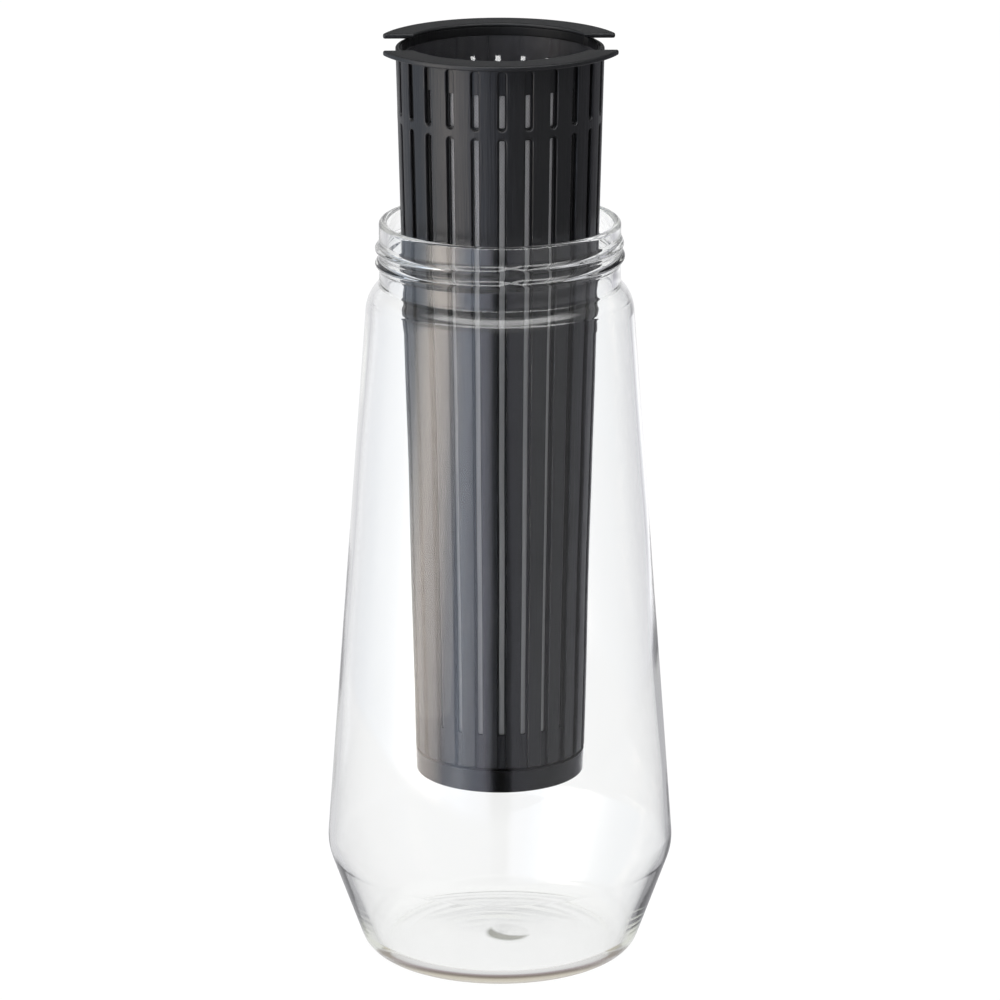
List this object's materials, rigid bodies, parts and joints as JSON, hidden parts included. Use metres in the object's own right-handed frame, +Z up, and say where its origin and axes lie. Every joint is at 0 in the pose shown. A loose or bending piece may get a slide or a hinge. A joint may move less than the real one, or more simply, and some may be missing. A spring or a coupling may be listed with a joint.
{
  "type": "cold brew carafe",
  "caption": "Clear glass carafe with a screw neck and a tapered, ribbed mesh strainer that lifts straight out of its mouth.",
  "frame": {"origin": "middle of the base, on the surface that the carafe stands on", "axes": "+Z up along the carafe's axis, which the strainer lifts along; the strainer's wings lie to the front (-Y) and the back (+Y)"},
  "size_m": [0.1016, 0.1016, 0.2714],
  "materials": {
    "glass": "clear blown glass, smooth",
    "strainer_plastic": "black moulded plastic, satin",
    "mesh": "fine woven filter mesh, grey",
    "cup_plastic": "black moulded plastic, smooth"
  },
  "bodies": {
    "carafe": {"glass_carafe": "glass"},
    "strainer": {"strainer_frame": "strainer_plastic", "filter_mesh": "mesh", "strainer_cup": "cup_plastic"}
  },
  "joints": [
    {"name": "strainer_lift", "type": "slide", "parent": "carafe", "child": "strainer", "axis": [0, 0, 1], "range_m": [-0.05, 0.175]}
  ]
}
